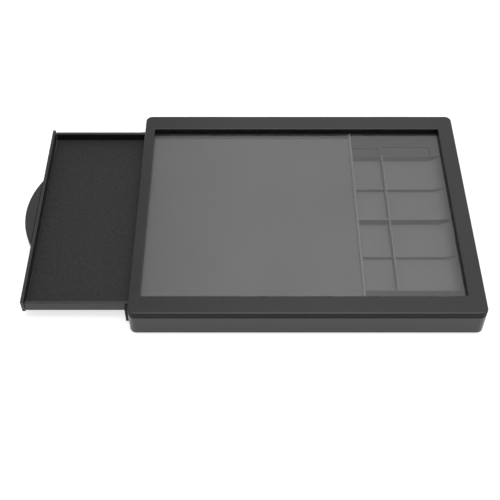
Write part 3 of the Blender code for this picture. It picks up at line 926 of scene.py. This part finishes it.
class PANSET_OT_lid(bpy.types.Operator):
    """Builds the bezel with its soft edges, matt side band and hinge knuckles, and the clear window"""

    bl_idname = "pan_set.lid"
    bl_label = "Lid"

    def execute(self, context):
        _, high, top = case_outline()
        _, window_high, pane_top = window_outline()
        plate_under = pane_top + GAP
        bezel = loft("lid_bezel", self.rings(plate_under), closed=True)
        notch = block(
            "notch_cutter",
            (NOTCH[0], window_high[1] - 1 * MM, top - sizes().lid_band),
            (NOTCH[1], window_high[1] + 0.8 * MM, plate_under + NOTCH_HEIGHT),
        )
        combine(bezel, [notch], "DIFFERENCE")
        barrels, bores = [], []
        for side, centre, length in hinge_places():
            barrels.append(hinge_barrel(f"lid_knuckle_{side}", centre, length, LID_ARM, high[1]))
            bores.append(pin_bore(f"lid_bore_{side}", centre))
        combine(bezel, barrels, "UNION")
        combine(bezel, bores, "DIFFERENCE")
        bezel.data.materials.clear()
        bezel.data.materials.append(material("case"))
        bezel.data.materials.append(material("band"))
        for face in self.band_faces(bezel):
            face.material_index = 1
        even_light(bezel, 30)
        give(bezel, "lid", "lid_frame")
        dress("window_pane", "pane")
        dress("pane_retainer", "drawer")
        return {"FINISHED"}

    def rings(self, plate_under):
        """The lid's section: up the outside, over the bezel, down into the window and back."""
        size = sizes()
        low, high, top = case_outline()
        outline = (low, high)
        window = window_outline()[:2]
        bottom = top - size.lid_band
        inner = inset(outline, size.wall)
        inner_corner = size.corner - size.wall
        away, rise = BAND_CHAMFER
        rings = [
            rounded_ring(*inset(outline, WINDOW_EDGE), size.corner - WINDOW_EDGE, bottom),
            rounded_ring(*inset(outline, away), size.corner - away, bottom + rise),
            rounded_ring(*outline, size.corner, bottom + WINDOW_EDGE),
        ]
        for away, drop in fillet(size.edge, 8):
            rings.append(rounded_ring(*inset(outline, away), size.corner - away, top - drop))
        for run, drop in turn_in(WINDOW_EDGE, 6):
            out = WINDOW_EDGE - run
            rings.append(rounded_ring(*inset(window, -out), WINDOW_CORNER + out, top - drop))
        rings += [
            rounded_ring(*window, WINDOW_CORNER, plate_under),
            rounded_ring(*inner, inner_corner, plate_under),
            rounded_ring(*inner, inner_corner, bottom),
        ]
        return rings

    def band_faces(self, bezel):
        """The faces of the lid's matt outer side."""
        size = sizes()
        _, high, top = case_outline()
        reach_x, reach_y = high[0] - 0.6 * MM, high[1] - 0.6 * MM
        for face in bezel.data.polygons:
            centre = face.center
            corner = size.corner if abs(centre.y) > high[1] - size.corner else 0
            outside = abs(centre.x) > reach_x - corner or abs(centre.y) > reach_y
            upright = abs(face.normal.z) < 0.35
            below_edge = centre.z < top - size.edge * 0.6
            before_hinges = centre.y < high[1] + 0.1 * MM
            if upright and outside and below_edge and before_hinges:
                yield face


def dress(node, key):
    """Gives a CAD node that keeps its shape its procedural material."""
    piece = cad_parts[node]
    piece.data.materials.clear()
    piece.data.materials.append(material(key))


# Drawer


class PANSET_OT_drawer(bpy.types.Operator):
    """Builds the drawer's tray, end plate, crescent grip and pebbled mat"""

    bl_idname = "pan_set.drawer"
    bl_label = "Drawer"

    def execute(self, context):
        size = sizes()
        low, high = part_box("drawer_tray")
        body = block("drawer_body", low, high)
        hollow = block(
            "drawer_hollow",
            (low.x - CUT_PAST, low.y + DRAWER_WALL, low.z + DRAWER_FLOOR),
            (high.x - DRAWER_WALL, high.y - DRAWER_WALL, high.z + CUT_PAST),
        )
        combine(body, [hollow], "DIFFERENCE")
        soften(body, size.soft_edge)
        give(body, "drawer", "drawer_tray", [material("drawer")])

        low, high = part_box("drawer_end_panel")
        plate = block("drawer_plate", low, high, 0.45 * MM, 4)
        combine(plate, peg_bores(), "DIFFERENCE")
        even_light(plate, 35)
        give(plate, "drawer", "drawer_end_panel", [material("drawer")])

        make_grip()

        low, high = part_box("drawer_liner")
        mat = block("drawer_mat", low, high, 0.15 * MM, 2)
        give(mat, "drawer", "drawer_liner", [material("mat")])
        return {"FINISHED"}


def crescent_outline(low, high, shrink, steps=48):
    """The points of a circle's segment whose straight side stands at high.x, drawn in by shrink."""
    reach = high.x - low.x
    half = (high.y - low.y) / 2
    middle = (high.y + low.y) / 2
    radius = (half**2 + reach**2) / (2 * reach)
    centre = low.x + radius
    plane = high.x - shrink
    inner = radius - shrink
    sweep = math.acos((centre - plane) / inner)
    points = []
    for step in range(steps + 1):
        angle = math.pi + sweep * (1 - 2 * step / steps)
        points.append((centre + inner * math.cos(angle), middle + inner * math.sin(angle)))
    return points


def crescent(name, low, high, shrink, bottom, top, over=0.0):
    shape = bmesh.new()
    outline = crescent_outline(low, high, shrink)
    lower = [shape.verts.new((x, y, bottom)) for x, y in outline]
    face = shape.faces.new(lower)
    raised = bmesh.ops.extrude_face_region(shape, geom=[face])
    verts = [item for item in raised["geom"] if isinstance(item, bmesh.types.BMVert)]
    bmesh.ops.translate(shape, vec=(0, 0, top - bottom), verts=verts)
    if over:
        rim = [e for e in shape.edges if all(abs(v.co.z - top) < 1e-7 for v in e.verts)]
        bmesh.ops.bevel(shape, geom=rim, offset=over, segments=5, profile=0.5, affect="EDGES")
    return finish_mesh(name, shape)


def make_grip():
    """The crescent grip: rounded upper edge, a hollow underneath for the fingertips, and two pegs."""
    low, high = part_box("drawer_pull")
    panel_low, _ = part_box("drawer_end_panel")
    back = Vector((panel_low.x - GAP, high.y, high.z))
    grip = crescent("drawer_grip", low, back, 0.0, low.z, high.z, over=GRIP_EDGE)
    hollow = crescent("grip_hollow", low, back, GRIP_WALL, low.z - CUT_PAST, high.z - GRIP_WALL)
    combine(grip, [hollow], "DIFFERENCE")
    middle, height = (low.y + high.y) / 2, (low.z + high.z) / 2
    pegs = [
        rod("grip_peg", (back.x - GRIP_WALL / 2, y, height), (high.x, y, height), PEG_RADIUS, 32)
        for y in (middle - PEG_Y, middle + PEG_Y)
    ]
    combine(grip, pegs, "UNION")
    even_light(grip, 35)
    give(grip, "drawer", "drawer_pull", [material("drawer")])


def peg_bores():
    """The blind holes in the end plate that the grip's pegs push into."""
    low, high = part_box("drawer_pull")
    panel_low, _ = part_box("drawer_end_panel")
    middle, height = (low.y + high.y) / 2, (low.z + high.z) / 2
    return [
        rod("peg_bore", (panel_low.x - 2 * MM, y, height), (high.x + GAP, y, height),
            PEG_BORE_RADIUS, 32)
        for y in (middle - PEG_Y, middle + PEG_Y)
    ]


# Hardware


class PANSET_OT_hardware(bpy.types.Operator):
    """Finishes the rails, glides, stops, pins, screws and feet"""

    bl_idname = "pan_set.hardware"
    bl_label = "Hardware"

    def execute(self, context):
        plain = {
            "drawer": ("drawer_runner_front", "drawer_runner_back", "bay_wall"),
            "glide": ("glide_front", "glide_back"),
            "rubber": ("drawer_stop_front", "drawer_stop_back"),
            "steel": (
                "hinge_pin_left", "hinge_pin_right", "flange_screw_front", "flange_screw_back",
            ),
        }
        for key, names in plain.items():
            for name in names:
                dress(name, key)
        for name in FEET:
            low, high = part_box(name)
            centre = (low + high) / 2
            pad = rod(f"{name}_pad", (centre.x, centre.y, low.z), (centre.x, centre.y, high.z),
                      (high.x - low.x) / 2, 64, FOOT_EDGE)
            even_light(pad)
            give(pad, "case", name, [material("rubber")])
        return {"FINISHED"}


# Stage


class PANSET_OT_stage(bpy.types.Operator):
    """Sets up the pale floor, the soft white surroundings, the softbox and the camera"""

    bl_idname = "pan_set.stage"
    bl_label = "Stage"

    def execute(self, context):
        scene = context.scene
        stage = scene.pan_set_stage
        scene.view_settings.view_transform = "Standard"
        scene.view_settings.look = "None"
        low, _ = CAD_BOX
        shape = bmesh.new()
        bmesh.ops.create_grid(shape, x_segments=1, y_segments=1, size=FLOOR_HALF)
        bmesh.ops.translate(shape, vec=(0, 0, low.z), verts=shape.verts)
        floor = finish_mesh("floor", shape)
        floor.data.materials.append(self.floor_material())
        self.surroundings(scene, stage)
        self.softbox(stage)
        camera_data = bpy.data.cameras.new("camera")
        camera_data.sensor_width = 36
        camera_data.lens = stage.lens
        camera = bpy.data.objects.new("camera", camera_data)
        camera.location = stage.camera_place
        camera.rotation_euler = (stage.camera_tilt, 0, 0)
        scene.collection.objects.link(camera)
        scene.camera = camera
        return {"FINISHED"}

    def floor_material(self):
        paper = Finish("pale_floor")
        cloud = paper.noise(0.4, detail=2)
        paper.link(paper.tint(cloud, (0.4, 0.4, 0.4), 0.02), paper.shader.inputs["Base Color"])
        paper.fix(Roughness=0.9, Specular_IOR_Level=0.0, Emission_Color=(1, 1, 1, 1),
                  Emission_Strength=0.72)
        return paper.material

    def surroundings(self, scene, stage):
        """A white room: brightest overhead, dimmer to the left, and unlit in front, low down."""
        world = bpy.data.worlds.new("studio")
        world.use_nodes = True
        scene.world = world
        tree = world.node_tree
        background = tree.nodes["Background"]
        background.inputs["Strength"].default_value = stage.dome
        where = tree.nodes.new("ShaderNodeTexCoord")
        split = tree.nodes.new("ShaderNodeSeparateXYZ")
        tree.links.new(where.outputs["Generated"], split.inputs["Vector"])
        noise = tree.nodes.new("ShaderNodeTexNoise")
        noise.inputs["Scale"].default_value = 1.6
        noise.inputs["Detail"].default_value = 2.0
        tree.links.new(where.outputs["Generated"], noise.inputs["Vector"])

        def ramp(value, low, high, start, end, smooth=True):
            node = tree.nodes.new("ShaderNodeMapRange")
            node.interpolation_type = "SMOOTHSTEP" if smooth else "LINEAR"
            node.inputs["From Min"].default_value = start
            node.inputs["From Max"].default_value = end
            node.inputs["To Min"].default_value = low
            node.inputs["To Max"].default_value = high
            tree.links.new(value, node.inputs["Value"])
            return node.outputs["Result"]

        def times(first, second, operation="MULTIPLY"):
            node = tree.nodes.new("ShaderNodeMath")
            node.operation = operation
            tree.links.new(first, node.inputs[0])
            tree.links.new(second, node.inputs[1])
            return node.outputs[0]

        cloud = ramp(noise.outputs["Fac"], 0.9, 1.1, 0.3, 0.7, smooth=False)
        behind = ramp(split.outputs["Y"], stage.unlit, 1.0, -0.75, -0.1)
        high = ramp(split.outputs["Z"], 0.0, 1.0, 0.55, 0.8)
        zenith = ramp(split.outputs["Z"], 1.0, stage.zenith, 0.88, 0.97)
        left = ramp(split.outputs["X"], 0.58, 1.02, -0.2, 0.02)
        right = ramp(split.outputs["X"], 1.0, 0.9, 0.1, 0.24)
        upper = ramp(split.outputs["Z"], 1.0, 1.2, 0.70, 0.80)
        lit = times(times(times(behind, high, "MAXIMUM"), cloud), zenith)
        lit = times(times(lit, upper), times(left, right))
        tree.links.new(lit, background.inputs["Color"])

    def softbox(self, stage):
        lamp = bpy.data.lights.new("softbox", "AREA")
        lamp.shape = "RECTANGLE"
        lamp.size = 1.2
        lamp.size_y = 0.5
        lamp.energy = stage.overhead
        softbox = bpy.data.objects.new("softbox", lamp)
        softbox.location = (0, 0.05, 1.3)
        bpy.context.scene.collection.objects.link(softbox)


class PANSET_PT_panel(bpy.types.Panel):
    """Lists the set's builders in the 3D view's sidebar"""

    bl_idname = "PANSET_PT_panel"
    bl_label = "Pan Set"
    bl_space_type = "VIEW_3D"
    bl_region_type = "UI"
    bl_category = "Pan Set"

    def draw(self, context):
        for operator in OPERATORS:
            self.layout.operator(operator.bl_idname)
        scene = context.scene
        for group in (scene.pan_set_sizes, scene.pan_set_finishes, scene.pan_set_stage):
            for key in group.bl_rna.properties.keys():
                if key not in ("rna_type", "name"):
                    self.layout.prop(group, key)


OPERATORS = (
    PANSET_OT_stage,
    PANSET_OT_case,
    PANSET_OT_mouth_plate,
    PANSET_OT_insert,
    PANSET_OT_lid,
    PANSET_OT_drawer,
    PANSET_OT_hardware,
)
CLASSES = (PanSetSizes, PanSetFinishes, PanSetStage, *OPERATORS, PANSET_PT_panel)


def register():
    for cls in CLASSES:
        bpy.utils.register_class(cls)
    bpy.types.Scene.pan_set_sizes = PointerProperty(type=PanSetSizes)
    bpy.types.Scene.pan_set_finishes = PointerProperty(type=PanSetFinishes)
    bpy.types.Scene.pan_set_stage = PointerProperty(type=PanSetStage)


def unregister():
    del bpy.types.Scene.pan_set_stage
    del bpy.types.Scene.pan_set_finishes
    del bpy.types.Scene.pan_set_sizes
    for cls in reversed(CLASSES):
        bpy.utils.unregister_class(cls)


def main():
    register()
    for operator in OPERATORS:
        module, name = operator.bl_idname.split(".")
        getattr(getattr(bpy.ops, module), name)()


if __name__ == "__main__":
    main()
